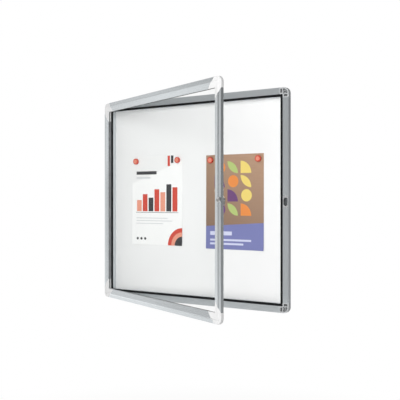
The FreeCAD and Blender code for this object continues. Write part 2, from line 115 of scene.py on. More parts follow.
class NoticeBoardSizes(bpy.types.PropertyGroup):
    """Sizes of the pieces that are made here."""

    magnet_radius: length_property("Magnet radius", "Outer radius of a magnet", 10.0 * MM)
    magnet_height: length_property("Magnet height", "From the sheet to a magnet's top", 7.0 * MM)
    magnet_inset_x: length_property("Magnet side inset", "From a sheet's side to it", 18.0 * MM)
    magnet_inset_z: length_property("Magnet top inset", "From a sheet's top to it", 16.0 * MM)
    paper_lift: length_property("Paper lift", "Rise of a sheet's free bottom corners", 2.2 * MM)
    paper_wave: length_property("Paper wave", "Height of the soft waves in a sheet", 0.35 * MM)
    screw_radius: length_property("Cam screw", "Radius of the cam screw's head", 3.0 * MM)
    screw_height: length_property("Cam screw height", "Height of the cam screw's head", 1.5 * MM)
    screw_shank: length_property("Cam screw shank", "Radius of the cam screw's shank", 1.5 * MM)
    screw_length: length_property("Cam screw length", "Length of the cam screw's shank", 5.0 * MM)
    lock_radius: length_property("Lock head", "Radius of the lock's head", 8.0 * MM)
    lock_bore: length_property("Lock bore", "Radius of the bore that the plug turns in", 4.55 * MM)
    lock_dish: length_property("Lock dish", "Depth of the dish in the lock's head", 1.2 * MM)
    lock_front: length_property("Lock front", "From the door's back to the lock's face", 13.5 * MM)
    lock_seat: length_property("Lock seat", "From the door's back to the head's foot", 1.4 * MM)
    lock_barrel: length_property("Lock barrel", "Radius of the barrel behind the door", 5.8 * MM)
    lock_reach: length_property("Lock reach", "Length of the barrel behind the door", 4.9 * MM)
    cam_reach: length_property("Cam screw seat", "From the door's back to its head", 7.7 * MM)


class NoticeBoardStudio(bpy.types.PropertyGroup):
    """Camera, lamps and surroundings."""

    camera_place: bpy.props.FloatVectorProperty(
        name="Camera", description="Place of the camera", default=(1.3466, -1.9399, 0.0),
        subtype="TRANSLATION"
    )
    camera_turn: bpy.props.FloatProperty(
        name="Camera turn", description="Turn about the upright axis",
        default=math.radians(34.36), subtype="ANGLE"
    )
    lens: bpy.props.FloatProperty(
        name="Lens", description="Focal length", default=65.5, min=10.0, unit="CAMERA"
    )
    camera_shift: bpy.props.FloatVectorProperty(
        name="Camera shift", description="Shift of the picture to the right and up",
        default=(0.0005, 0.0004), size=2
    )
    floor_drop: length_property("Floor", "Floor below the board's middle", 1.15)
    key_power: power_property("Key lamp", "Soft lamp in front of the board", 47.0)
    side_power: power_property("Side lamp", "Tall lamp off the hinge side", 0.7)
    rim_power: power_property("Rim lamp", "Small lamp off the top of the hinge side", 0.14)
    foot_power: power_property("Foot lamp", "Low lamp off the foot of the hinge side", 0.6)
    world_level: bpy.props.FloatProperty(
        name="Surround", description="Level of the light that comes from all round",
        default=0.52, min=0.0, max=2.0
    )


class Signal:
    """A shader socket that takes part in Python expressions."""

    def __init__(self, shader, socket):
        self.shader = shader
        self.socket = socket

    def _combine(self, operation, left, right):
        parts = [part for part in (left, right) if isinstance(part, Signal)]
        vector = any(part.socket.type == "VECTOR" for part in parts)
        kind = "VectorMath" if vector else "Math"
        return self.shader.node(kind, {"operation": operation}, [left, right])

    def __add__(self, other):
        return self._combine("ADD", self, other)

    def __sub__(self, other):
        return self._combine("SUBTRACT", self, other)

    def __rsub__(self, other):
        return self._combine("SUBTRACT", other, self)

    def __mul__(self, other):
        return self._combine("MULTIPLY", self, other)

    def __gt__(self, other):
        return self._combine("GREATER_THAN", self, other)

    def __lt__(self, other):
        return self._combine("LESS_THAN", self, other)

    def either(self, other):
        """The larger of two values."""
        return self._combine("MAXIMUM", self, other)

    def size(self):
        """The value without its sign."""
        return self.shader.node("Math", {"operation": "ABSOLUTE"}, [self])

    def root(self):
        """The square root."""
        return self.shader.node("Math", {"operation": "SQRT"}, [self])

    def axes(self):
        """The three components of a vector."""
        parts = self.shader.node("SeparateXYZ", {}, [self]).socket.node.outputs
        return [Signal(self.shader, part) for part in parts]

    def ramp(self, low, high, start=0.0, finish=1.0):
        """Straight change from start at low to finish at high, held beyond both."""
        return self.shader.node("MapRange", {"clamp": True}, [self, low, high, start, finish])

    def spread(self, start=0.0, finish=1.0):
        """Straight change from start to finish over the range that most of a noise keeps to."""
        return self.ramp(NOISE_LOW, NOISE_HIGH, start, finish)

    def smooth(self, low, high, start=0.0, finish=1.0):
        """Soft change from start at low to finish at high."""
        settings = {"interpolation_type": "SMOOTHSTEP"}
        return self.shader.node("MapRange", settings, [self, low, high, start, finish])

    def blend(self, lower, upper):
        """Colour that goes from lower to upper as this value goes from 0 to 1."""
        return self.shader.node("Mix", {"data_type": "RGBA"}, [self, lower, upper])


class Shader:
    """A node tree, built one expression at a time."""

    def __init__(self, tree):
        tree.nodes.clear()
        self.tree = tree

    def node(self, kind, settings, sockets, output=0):
        """Add a node with its settings, fill its sockets in order or by name, give one output."""
        made = self.tree.nodes.new("ShaderNode" + kind)
        for name, value in settings.items():
            setattr(made, name, value)
        shown = [socket for socket in made.inputs if socket.enabled]
        if isinstance(sockets, dict):
            named = {socket.name: socket for socket in reversed(shown)}
            pairs = [(named[name], value) for name, value in sockets.items()]
        else:
            pairs = list(zip(shown, sockets))
        for socket, value in pairs:
            if isinstance(value, Signal):
                self.tree.links.new(value.socket, socket)
            elif socket.type == "RGBA":
                socket.default_value = (*value[:3], 1.0)
            else:
                socket.default_value = value
        results = [socket for socket in made.outputs if socket.enabled]
        if isinstance(output, str):
            return Signal(self, next(socket for socket in results if socket.name == output))
        return Signal(self, results[output] if results else None)

    def place(self):
        """Point on the piece, in metres, which stays with the piece as it moves."""
        return self.node("TexCoord", {}, {}, "Object")

    def noise(self, point, scale, detail=3.0, roughness=0.5):
        """Cloudy value about 0.5."""
        sockets = {"Vector": point, "Scale": scale, "Detail": detail, "Roughness": roughness}
        return self.node("TexNoise", {}, sockets)

    def cells(self, point, scale, output="Distance"):
        """Distance to, or colour of, the nearest of a scatter of points."""
        return self.node("TexVoronoi", {}, {"Vector": point, "Scale": scale}, output)

    def bump(self, height, distance, strength=1.0):
        """Surface normal bent by a height; distance is the depth in metres of a height of 1."""
        sockets = {"Strength": strength, "Distance": distance, "Height": height}
        return self.node("Bump", {}, sockets)

    def principled(self, **sockets):
        """Principled shader; names use underscores for spaces."""
        named = {name.replace("_", " "): value for name, value in sockets.items()}
        return self.node("BsdfPrincipled", {}, named)

    def surface(self, shader):
        """Finish the tree with this surface shader."""
        self.node("OutputMaterial", {}, {"Surface": shader})


def scaled(colour, factor):
    """A colour made darker or paler by a factor, held at white."""
    return tuple(min(1.0, part * factor) for part in colour)


def new_material(name):
    """An empty material and the shader that fills it."""
    material = bpy.data.materials.new(name)
    material.use_nodes = True
    return material, Shader(material.node_tree)


def new_object(name, data):
    """An object in the scene with this mesh, lamp or camera."""
    made = bpy.data.objects.new(name, data)
    bpy.context.scene.collection.objects.link(made)
    return made


def dress(nodes, material):
    """Give CAD nodes a finish."""
    for name in nodes:
        for material_slot in frame["nodes"][name].material_slots:
            material_slot.material = material


def add_piece(name, mesh, material, body, replaced=()):
    """Make an object of a mesh, ride it on a body and let it stand for CAD nodes."""
    piece = new_object(name, mesh)
    mesh.materials.append(material)
    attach(piece, body)
    if replaced:
        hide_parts(*replaced)
    return piece


def as_mesh(name, shape, sharp_angle=None):
    """Turn a bmesh into a mesh, smooth but for edges sharper than an angle in degrees."""
    bmesh.ops.recalc_face_normals(shape, faces=shape.faces)
    mesh = bpy.data.meshes.new(name)
    shape.to_mesh(mesh)
    shape.free()
    for polygon in mesh.polygons:
        polygon.use_smooth = True
    if sharp_angle is not None:
        mesh.set_sharp_from_angle(angle=math.radians(sharp_angle))
    return mesh


def ring(shape, radius, height, segments):
    """A ring of vertices about Z."""
    turn = [2 * math.pi * step / segments for step in range(segments)]
    return [shape.verts.new((radius * math.cos(a), radius * math.sin(a), height)) for a in turn]


def lathe(shape, profile, segments):
    """Turn a profile of (radius, height) about Z; a radius of 0 closes the form."""
    rings = []
    for radius, height in profile:
        if radius == 0:
            rings.append([shape.verts.new((0, 0, height))] * segments)
        else:
            rings.append(ring(shape, radius, height, segments))
    for lower, upper in zip(rings, rings[1:]):
        for step in range(segments):
            after = (step + 1) % segments
            corners = [lower[step], lower[after], upper[after], upper[step]]
            shape.faces.new(list(dict.fromkeys(corners)))


def rounded_profile(corners, steps):
    """Profile through (radius, height, rounding) corners, each rounded with short chords."""
    points = []
    for index, (x, y, rounding) in enumerate(corners):
        here = Vector((x, y))
        if rounding == 0:
            points.append(here)
            continue
        before = (Vector(corners[index - 1][:2]) - here).normalized()
        after = (Vector(corners[index + 1][:2]) - here).normalized()
        reach = rounding / math.tan(before.angle(after) / 2)
        start = here + before * reach
        finish = here + after * reach
        for step in range(steps + 1):
            share = step / steps
            points.append((1 - share) ** 2 * start + 2 * share * (1 - share) * here
                          + share ** 2 * finish)
    return [(point.x, point.y) for point in points]


def along(shader, point, direction, swung):
    """Coordinates whose Z runs along a bar that lies along X or Z when the door is shut."""
    if swung:
        settings = {"rotation_type": "Z_AXIS"}
        sockets = {"Vector": point, "Center": tuple(HINGE_POINT), "Angle": -SHUT_ANGLE}
        point = shader.node("VectorRotate", settings, sockets)
    x, y, z = point.axes()
    if direction == "X":
        return shader.node("CombineXYZ", {}, [z, y, x])
    return point


def lip_shade_mask(run, side):
    """1 on the back lip that the pane rests on, inside the case's opening: the mask for the painted
    shade there.
    """
    beside_rail = 1.0 * MM
    behind_pins = 0.8 * MM
    kind, axis = ("rail", 2) if side in ("bottom", "top") else ("stile", 0)
    low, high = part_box(f"case_{kind}_{side}")
    across, y, _ = run.axes()
    if side in ("bottom", "hinge"):
        inside = across > high[axis] + beside_rail
    else:
        inside = across < low[axis] - beside_rail
    return inside * (y > HINGE_POINT.y + behind_pins)


def aluminium_finish(name, colour, direction, swung, side, metal, dull):
    """Satin anodised extrusion: fine die lines along the bar, faint clouds and handling marks.

    On the door, the lip behind the pane is painted darker as shade, less dark on the hinge side as
    painted light.
    """
    material, shader = new_material(name)
    run = along(shader, shader.place(), direction, swung)
    fine = shader.noise(run * (1.0, 1.0, 0.004), scale=2600.0, detail=2.0)
    broad = shader.noise(run * (1.0, 1.0, 0.01), scale=420.0, detail=2.0)
    clouds = shader.noise(run * (1.0, 1.0, 0.3), scale=9.0, detail=3.0)
    scuff = shader.noise(run * (1.0, 1.0, 0.12), scale=260.0, detail=4.0, roughness=0.7)
    scuff = scuff.smooth(0.68, 0.76) * shader.noise(run, scale=9.0, detail=2.0).smooth(0.55, 0.75)
    lines = fine * 0.6 + broad * 0.4
    tone = lines.spread(0.955, 1.03) * clouds.spread(0.99, 1.01)
    base = tone.ramp(0.9, 1.05).blend(scaled(colour, DARKER), colour)
    base = (scuff * 0.2).blend(base, scaled(colour, 1.12))
    roughness = lines.spread(dull - 0.03, dull + 0.03) + clouds.spread(-0.005, 0.01)
    roughness = roughness + scuff * 0.05
    metallic = metal
    if swung:
        # Painted shade on the lip behind the pane; its hinge side is painted lighter, as if more
        # light reached it.
        painted_lip_shade_lit = (0.16, 0.16, 0.17)
        painted_lip_shade_deep = (0.02, 0.02, 0.022)
        shaded_lip = lip_shade_mask(run, side)
        base = shaded_lip.blend(base, painted_lip_shade_lit if side == "hinge" else painted_lip_shade_deep)
        metallic = (1.0 - shaded_lip) * metal
        roughness = roughness + shaded_lip * 0.4
    normal = shader.bump(lines, distance=0.00002, strength=0.55)
    shader.surface(shader.principled(Base_Color=base, Metallic=metallic, Roughness=roughness,
                                     Normal=normal))
    return material


def pocket_shade_mask(point):
    """1 on the walls and floors of the pockets inside a case corner's rounded rim, where shade is
    painted.
    """
    corner_radius = 18.0 * MM
    rim_width = 1.2 * MM
    shade_start = 0.3 * MM
    shade_full = 1.8 * MM
    shade_end = 5.0 * MM
    low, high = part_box("case_corner_top_lock")
    x, y, z = point.axes()
    across = (x.size() - (high.x - corner_radius)).either(0.0)
    up = (z.size() - (high.z - corner_radius)).either(0.0)
    from_middle = (across * across + up * up).root()
    sunk = y.smooth(low.y + shade_start, low.y + shade_full) * (y < low.y + shade_end)
    return sunk * (from_middle < corner_radius - rim_width)


def moulded_finish(name, colour, roughness, grain, grain_depth, sheen=0.0, painted_pocket_shade=False):
    """Moulded plastic: fine spark-eroded grain, faint flow marks, dust in the texture, and painted
    shade in the pockets when asked.
    """
    material, shader = new_material(name)
    point = shader.place()
    texture = shader.noise(point, scale=grain, detail=3.0, roughness=0.65)
    flow = shader.noise(point * (1.0, 1.0, 0.45), scale=34.0, detail=3.0)
    rub = shader.noise(point, scale=160.0, detail=3.0, roughness=0.6).smooth(0.6, 0.72)
    base = flow.spread().blend(scaled(colour, DARKER), colour)
    base = (texture.ramp(0.3, 0.45, 1.0, 0.0) * 0.10).blend(base, scaled(colour, 0.72))
    if painted_pocket_shade:
        # Painted shade: pocket walls and floors are darkened as if in shadow.
        base = (pocket_shade_mask(point) * 0.9).blend(base, scaled(colour, 0.16))
    rough = texture.spread(roughness - 0.05, roughness + 0.05) - rub * 0.08
    normal = shader.bump(texture, distance=grain_depth, strength=0.6)
    coat = {"Coat_Weight": sheen, "Coat_Roughness": 0.18} if sheen else {}
    shader.surface(shader.principled(Base_Color=base, Roughness=rough, Normal=normal, **coat))
    return material


def rubber_finish(name, colour, dust):
    """Extruded rubber: dull skin with fine pits and a little pale dust."""
    material, shader = new_material(name)
    point = shader.place()
    pits = shader.noise(point, scale=1500.0, detail=3.0, roughness=0.6)
    bloom = shader.noise(point, scale=45.0, detail=4.0, roughness=0.6)
    specks = shader.cells(point, scale=700.0).smooth(0.10, 0.2, 1.0, 0.0)
    specks = specks * shader.noise(point, scale=120.0, detail=2.0).smooth(0.55, 0.7)
    pale = tuple(part * 1.8 + 0.002 for part in colour)
    base = bloom.ramp(0.35, 0.7).blend(colour, pale)
    base = (specks * dust).blend(base, (0.30, 0.30, 0.29))
    roughness = pits.spread(0.68, 0.84)
    normal = shader.bump(pits, distance=0.00003, strength=0.6)
    shader.surface(shader.principled(Base_Color=base, Roughness=roughness, Normal=normal,
                                     Specular_IOR_Level=0.2))
    return material


def enamel_finish(name, colour):
    """White enamelled sheet: glossy, with faint orange peel and the haze of wiped marks."""
    material, shader = new_material(name)
    point = shader.place()
    peel = shader.noise(point, scale=420.0, detail=2.0)
    clouds = shader.noise(point, scale=5.0, detail=3.0)
    x, y, z = point.axes()
    wipe_place = shader.node("CombineXYZ", {}, [x * 0.35 + z * 0.25, y, z + x * 0.4])
    wiped = shader.noise(wipe_place, scale=26.0, detail=4.0, roughness=0.6).smooth(0.5, 0.8)
    base = clouds.spread().blend(scaled(colour, 0.985), colour)
    base = (wiped * 0.035).blend(base, (0.62, 0.63, 0.66))
    roughness = wiped.ramp(0.0, 1.0, 0.16, 0.24) + peel.spread(-0.01, 0.02)
    normal = shader.bump(peel, distance=0.00002, strength=0.5)
    shader.surface(shader.principled(Base_Color=base, Roughness=roughness, Normal=normal))
    return material


def fibre_finish(name):
    """Pressed fibre core: brown with short pale and dark fibres."""
    material, shader = new_material(name)
    point = shader.place()
    fibres = shader.noise(point * (1.0, 3.0, 0.5), scale=700.0, detail=4.0, roughness=0.7)
    clumps = shader.noise(point, scale=90.0, detail=3.0)
    base = fibres.spread().blend((0.20, 0.13, 0.08), (0.42, 0.31, 0.20))
    base = (clumps.ramp(0.4, 0.7) * 0.4).blend(base, (0.30, 0.21, 0.13))
    normal = shader.bump(fibres, distance=0.0002, strength=0.7)
    shader.surface(shader.principled(Base_Color=base, Roughness=0.9, Normal=normal))
    return material


def galvanised_finish(name):
    """Thin galvanised back sheet: soft spangle and rolling marks."""
    material, shader = new_material(name)
    point = shader.place()
    spangle = shader.cells(point * (1.0, 0.3, 1.0), scale=75.0, output="Color").axes()[0]
    rolled = shader.noise(point * (0.03, 1.0, 1.0), scale=900.0, detail=2.0)
    stain = shader.noise(point, scale=6.0, detail=4.0, roughness=0.6)
    tone = spangle.ramp(0.0, 1.0, 0.0, 0.7) + rolled.spread(0.0, 0.2)
    tone = tone + stain.ramp(0.4, 0.7, 0.0, 0.1)
    base = tone.blend((0.44, 0.45, 0.47), (0.62, 0.63, 0.64))
    roughness = spangle.ramp(0.0, 1.0, 0.42, 0.54) + stain.ramp(0.4, 0.7, 0.0, 0.08)
    normal = shader.bump(rolled, distance=0.00002, strength=0.4)
    shader.surface(shader.principled(Base_Color=base, Metallic=1.0, Roughness=roughness,
                                     Normal=normal))
    return material


def light_path(shader, output):
    """One of the facts about the ray that is being followed."""
    return shader.node("LightPath", {}, {}, output)


def seen_directly(shader):
    """1 for what the camera sees, straight or through the pane, and 0 for light sent on."""
    sent_on = light_path(shader, "Glossy Depth") + light_path(shader, "Diffuse Depth") > 0.5
    through = light_path(shader, "Is Transmission Ray") * (1.0 - sent_on)
    return light_path(shader, "Is Camera Ray").either(through)


def pane_finish(name, colour):
    """Clear pane with a trace of dust; lamps and light from other surfaces pass it straight."""
    material, shader = new_material(name)
    point = shader.place()
    ripple = shader.noise(point, scale=6.0, detail=1.0)
    smear = shader.noise(point * (1.0, 1.0, 0.3), scale=30.0, detail=4.0, roughness=0.65)
    glass = shader.principled(Base_Color=colour, Roughness=0.0, IOR=1.03, Transmission_Weight=1.0,
                              Normal=shader.bump(ripple, distance=0.0004, strength=0.1))
    dust = shader.node("BsdfDiffuse", {}, {"Color": (0.8, 0.8, 0.8)})
    clear = shader.node("BsdfTransparent", {}, {"Color": (0.94, 0.945, 0.943)})
    hazed = shader.node("MixShader", {}, [smear.smooth(0.55, 0.8) * 0.012, glass, dust])
    refracted = light_path(shader, "Is Transmission Ray")
    mirrored = light_path(shader, "Is Glossy Ray") * (1.0 - refracted)
    sent_on = light_path(shader, "Is Shadow Ray").either(light_path(shader, "Is Diffuse Ray"))
    shader.surface(shader.node("MixShader", {}, [sent_on.either(mirrored), hazed, clear]))
    return material


def plated_finish(name, colour, roughness, scratches):
    """Plated metal: fine random scratches and a slight mottle."""
    material, shader = new_material(name)
    point = shader.place()
    mottle = shader.noise(point, scale=300.0, detail=3.0)
    hair = shader.noise(point * (1.0, 0.2, 0.06), scale=2400.0, detail=2.0)
    cross = shader.noise(point * (0.07, 0.2, 1.0), scale=2100.0, detail=2.0)
    marks = hair.smooth(0.6, 0.72).either(cross.smooth(0.62, 0.74)) * scratches
    base = mottle.spread().blend(scaled(colour, DARKER), colour)
    rough = mottle.spread(roughness - 0.03, roughness + 0.04) + marks * 0.15
    normal = shader.bump(marks, distance=0.00001, strength=0.5)
    shader.surface(shader.principled(Base_Color=base, Metallic=1.0, Roughness=rough, Normal=normal))
    return material


def magnet_finish(name, colour, centre, middle, radius):
    """Glossy red plastic with a paler dish in the middle of one magnet's face."""
    material, shader = new_material(name)
    point = shader.place()
    x, _, z = (point - tuple(middle)).axes()
    away = (x * x + z * z).root()
    in_dish = away.smooth(radius * 0.62, radius * 0.70, 1.0, 0.0)
    mottle = shader.noise(point, scale=500.0, detail=3.0)
    base = in_dish.blend(colour, centre)
    base = (mottle.spread() * 0.12).blend(base, scaled(colour, 0.8))
    rough = mottle.spread(0.24, 0.34)
    shader.surface(shader.principled(Base_Color=base, Roughness=rough, Coat_Weight=0.3,
                                     Normal=shader.bump(mottle, distance=0.00002, strength=0.5)))
    return material


def in_rectangle(x, y, left, low, right, high):
    """1 inside a rectangle of the page."""
    return (x > left) * (x < right) * (y > low) * (y < high)


def in_disc(x, y, middle_x, middle_y, radius):
    """1 inside a disc of the page."""
    across = x - middle_x
    up = y - middle_y
    return across * across + up * up < radius * radius


def page_axes(shader, node):
    """Millimetres to the right and up from the lower left corner of a sheet."""
    low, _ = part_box(node)
    x, _, z = ((shader.place() - tuple(low)) * (1 / MM, 1 / MM, 1 / MM)).axes()
    return x, z


def printed(shader, page, ink, paper):
    """Paper fibre under the print, a little gloss where there is ink."""
    point = shader.place()
    fibre = shader.noise(point, scale=1900.0, detail=3.0, roughness=0.6)
    base = (fibre.spread() * 0.05).blend(page, scaled(paper, 0.8))
    roughness = ink.ramp(0.0, 1.0, 0.62, 0.42) + fibre.spread(-0.03, 0.03)
    shader.surface(shader.principled(Base_Color=base, Roughness=roughness,
                                     Normal=shader.bump(fibre, distance=0.00002, strength=0.5)))


def chart_sheet_finish(name, node, paper):
    """White sheet with a grey slant, red and dark columns, plain bars, an arch and dots."""
    material, shader = new_material(name)
    x, y = page_axes(shader, node)
    red = (0.62, 0.06, 0.035)
    salmon = (0.80, 0.32, 0.22)
    dark = (0.035, 0.035, 0.04)
    grey = (0.66, 0.67, 0.68)
    page = ((y - x * 0.35) > 206.0).blend(paper, scaled(paper, 0.91))
    ink = x * 0.0
    shapes = [
        (in_rectangle(x, y, 18.0, 236.0, 104.0, 247.0), dark),
        (in_rectangle(x, y, 18.0, 222.0, 78.0, 228.0), grey),
        (in_rectangle(x, y, 150.0, 262.0, 160.0, 297.0), red),
        (in_rectangle(x, y, 164.0, 272.0, 174.0, 297.0), dark),
    ]
    heights = (38.0, 58.0, 46.0, 74.0, 64.0, 90.0, 80.0)
    tones = (salmon, red, dark, red, salmon, dark, red)
    column_foot = 112.0
    column_width = 20.5
    for index, (height, tone) in enumerate(zip(heights, tones)):
        left = 20.0 + 25.0 * index
        column = (left, column_foot, left + column_width, column_foot + height)
        shapes.append((in_rectangle(x, y, *column), tone))
    shapes.append((in_rectangle(x, y, 16.0, 107.5, 194.0, 109.0), dark))
    bar_height = 2.6
    for index, right in enumerate((150.0, 170.0, 132.0)):
        low = 88.0 - 9.0 * index
        shapes.append((in_rectangle(x, y, 18.0, low, right, low + bar_height), grey))
    sheet_width = 210.0
    for radius, tone in ((58.0, red), (44.0, salmon), (30.0, dark)):
        shapes.append((in_disc(x, y, sheet_width, 0.0, radius), tone))
    for index in range(3):
        shapes.append((in_disc(x, y, 24.0 + 16.0 * index, 20.0, 4.5), dark))
    for mask, tone in shapes:
        page = mask.blend(page, tone)
        ink = ink.either(mask)
    printed(shader, page, ink, paper)
    return material


def tile_sheet_finish(name, node, paper):
    """Brown sheet with a grid of discs, quarters and leaves above a slanting violet foot."""
    material, shader = new_material(name)
    x, y = page_axes(shader, node)
    streak = shader.noise(shader.place() * (0.12, 1.0, 1.0), scale=210.0, detail=4.0, roughness=0.6)
    light = (x * 0.5 + y).ramp(60.0, 400.0)
    ground = light.blend((0.20, 0.125, 0.085), (0.46, 0.29, 0.19))
    page = (streak.spread() * 0.35).blend(ground, (0.33, 0.19, 0.11))
    yellow = (0.80, 0.62, 0.16)
    orange = (0.76, 0.25, 0.05)
    green = (0.42, 0.52, 0.17)
    purple = (0.14, 0.05, 0.17)
    cream = (0.80, 0.72, 0.60)
    height = 38.0
    pitch_across = 48.0
    pitch_up = 44.0
    disc_middle = 21.0
    left = 32.0
    low = 106.0
    tiles = (
        (0, 3, "disc", orange), (1, 3, "leaf", green), (2, 3, "quarter", yellow),
        (0, 2, "quarter", purple), (1, 2, "disc", orange), (2, 2, "leaf", yellow),
        (0, 1, "leaf", cream), (1, 1, "quarter", purple), (2, 1, "disc", yellow),
        (0, 0, "disc", purple), (1, 0, "leaf", green), (2, 0, "quarter", orange),
    )
    for column, row, kind, tone in tiles:
        corner_x = left + column * pitch_across
        corner_y = low + row * pitch_up
        if kind == "disc":
            mask = in_disc(x, y, corner_x + disc_middle, corner_y + height / 2, height / 2)
        elif kind == "quarter":
            mask = in_disc(x, y, corner_x, corner_y, height) * (x > corner_x) * (y > corner_y)
        else:
            mask = in_disc(x, y, corner_x, corner_y, height)
            mask = mask * in_disc(x, y, corner_x + height, corner_y + height, height)
        page = mask.blend(page, tone)
    violet = y - x * 0.06 < 72.0
    page = violet.blend(page, (0.175, 0.19, 0.42))
    pale = (0.62, 0.64, 0.82)
    bars = ((16.0, 44.0, 96.0, 56.0), (16.0, 26.0, 166.0, 32.0), (16.0, 14.0, 138.0, 20.0))
    for bar in bars:
        page = in_rectangle(x, y, *bar).blend(page, pale)
    printed(shader, page, 1.0 - x * 0.0, paper)
    return material


def sheet_mesh(name, node, lift, wave):
    """A sheet held at its top: soft waves, and bottom corners that stand off the panel a little."""
    low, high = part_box(node)
    columns = 28
    rows = 40
    curl = 5
    middle_share = 0.25
    waves_across = 9.0
    wave_per_row = 0.11
    thickness = high.y - low.y
    shape = bmesh.new()
    layers = []
    for layer in (0.0, thickness):
        grid = []
        for row in range(rows + 1):
            down = 1 - row / rows
            z = low.z + (high.z - low.z) * row / rows
            line = []
            for column in range(columns + 1):
                across = column / columns
                x = low.x + (high.x - low.x) * across
                edge = abs(across * 2 - 1)
                rise = lift * down ** curl * (middle_share + (1 - middle_share) * edge ** 3)
                rise += wave * down * (1 + math.sin(across * waves_across + row * wave_per_row)) / 2
                line.append(shape.verts.new((x, high.y - rise - layer, z)))
            grid.append(line)
        layers.append(grid)
    for grid, turn in zip(layers, (False, True)):
        for row in range(rows):
            for column in range(columns):
                corners = [grid[row][column], grid[row][column + 1],
                           grid[row + 1][column + 1], grid[row + 1][column]]
                shape.faces.new(corners if turn else corners[::-1])
    back, front = layers
    rim = [(0, c) for c in range(columns)] + [(r, columns) for r in range(rows)]
    rim += [(rows, c) for c in range(columns, 0, -1)] + [(r, 0) for r in range(rows, 0, -1)]
    for here, after in zip(rim, rim[1:] + rim[:1]):
        shape.faces.new([back[here[0]][here[1]], back[after[0]][after[1]],
                         front[after[0]][after[1]], front[here[0]][here[1]]])
    return as_mesh(name, shape, sharp_angle=40)


def magnet_mesh(name, middle, radius, height):
    """Turned magnet with a rounded rim, a step at its foot and a shallow dish."""
    dish = 0.8 * MM
    dish_floor = radius * 0.50
    dish_rim = radius * 0.68
    step = 0.3 * MM
    step_top = 1.2 * MM
    step_low = 1.1 * MM
    profile = rounded_profile([
        (0.0, height - dish, 0),
        (dish_floor, height - dish, 0.8 * MM),
        (dish_rim, height, 0.6 * MM),
        (radius, height, 1.5 * MM),
        (radius, step_top, 0),
        (radius - step, step_low, 0),
        (radius - step, 0.0, 0),
        (0.0, 0.0, 0),
    ], steps=6)
    shape = bmesh.new()
    lathe(shape, profile, segments=64)
    upright = Matrix.Translation(middle) @ Matrix.Rotation(math.radians(90), 4, "X")
    bmesh.ops.transform(shape, matrix=upright, verts=shape.verts)
    return as_mesh(name, shape, sharp_angle=50)


def on_lock_axis(look, distance):
    """Frame on the lock's axis, a distance behind the door's back, whose Z is the look."""
    place = Matrix.Translation(Vector(LOCK["pos_m"]) + Vector(LOCK["axis"]) * distance)
    return place @ look.to_track_quat("Z", "Y").to_matrix().to_4x4()


def lock_head_mesh(name, sizes):
    """Lock body: head with a rounded rim and a dish, and a barrel with a fine thread."""
    radius = sizes.lock_radius
    bore = sizes.lock_bore
    front = sizes.lock_front
    barrel = sizes.lock_barrel
    back = -sizes.lock_reach
    profile = rounded_profile([
        (bore, back, 0),
        (barrel, back, 0.3 * MM),
        (barrel, sizes.lock_seat, 0),
        (radius, sizes.lock_seat, 0),
        (radius, front, 0.7 * MM),
        (radius * 0.80, front, 0.3 * MM),
        (bore, front - sizes.lock_dish, 0),
        (bore, back, 0),
    ], steps=4)
    crest = next(index for index, point in enumerate(profile) if point[1] == sizes.lock_seat)
    turns = 6
    plain_end = 0.5 * MM
    thread_depth = 0.25 * MM
    pitch = (sizes.lock_reach - 2 * plain_end) / turns
    thread = []
    for turn in range(turns):
        start = back + plain_end + turn * pitch
        thread += [(barrel, start), (barrel - thread_depth, start + pitch / 2)]
    shape = bmesh.new()
    lathe(shape, profile[:crest] + thread + profile[crest:], segments=72)
    bmesh.ops.remove_doubles(shape, verts=shape.verts, dist=SAME_PLACE)
    bmesh.ops.transform(shape, matrix=on_lock_axis(-Vector(LOCK["axis"]), 0.0), verts=shape.verts)
    return as_mesh(name, shape, sharp_angle=40)


def cross_outline(reach, width):
    """Twelve corners of a cross recess."""
    half = width / 2
    arm = [(reach, -half), (reach, half), (half, half)]
    points = []
    for quarter in range(4):
        turn = Matrix.Rotation(math.radians(90 * quarter), 2)
        points += [turn @ Vector(point) for point in arm]
    return points


def screw_head(shape, radius, height):
    """Domed screw head with a cross recess: its face looks along +Z from the origin."""
    segments = 36
    crown = radius * 0.12
    taper = 0.55
    depth = height * 0.7
    rim = ring(shape, radius, -crown, segments)
    flat = ring(shape, radius * 0.66, 0, segments)
    foot = ring(shape, radius, -height, segments)
    cross = cross_outline(radius * 0.52, radius * 0.22)
    lip = [shape.verts.new((point.x, point.y, 0)) for point in cross]
    floor = [shape.verts.new((point.x * taper, point.y * taper, -depth)) for point in cross]
    for step in range(segments):
        after = (step + 1) % segments
        shape.faces.new([rim[step], rim[after], flat[after], flat[step]])
        shape.faces.new([foot[step], foot[after], rim[after], rim[step]])
    edges = []
    for loop in (flat, lip):
        for step, corner in enumerate(loop):
            following = loop[(step + 1) % len(loop)]
            edge = shape.edges.get((corner, following)) or shape.edges.new((corner, following))
            edges.append(edge)
    bmesh.ops.triangle_fill(shape, edges=edges, use_beauty=True)
    for step in range(len(lip)):
        after = (step + 1) % len(lip)
        shape.faces.new([lip[step], lip[after], floor[after], floor[step]])
    shape.faces.new(floor)


class BoardOperator(bpy.types.Operator):
    """Base of the operators below, which the sidebar lists."""

    bl_options = {"REGISTER", "UNDO"}


class NOTICEBOARD_OT_extrusions(BoardOperator):
    """Finish the aluminium rails and stiles of the case and the door"""

    bl_idname = "notice_board.extrusions"
    bl_label = "Extrusions"

    def execute(self, context):
        colour = context.scene.notice_board_colours.aluminium
        frames = {"case": {"metal": 0.80, "dull": 0.34}, "door": {"metal": 0.97, "dull": 0.26}}
        for owner, satin in frames.items():
            for side in SIDES:
                kind, direction = ("rail", "X") if side in ("bottom", "top") else ("stile", "Z")
                finish = aluminium_finish(f"anodised_{owner}_{side}", colour, direction,
                                          owner == "door", side, **satin)
                dress([f"{owner}_{kind}_{side}"], finish)
        return {"FINISHED"}


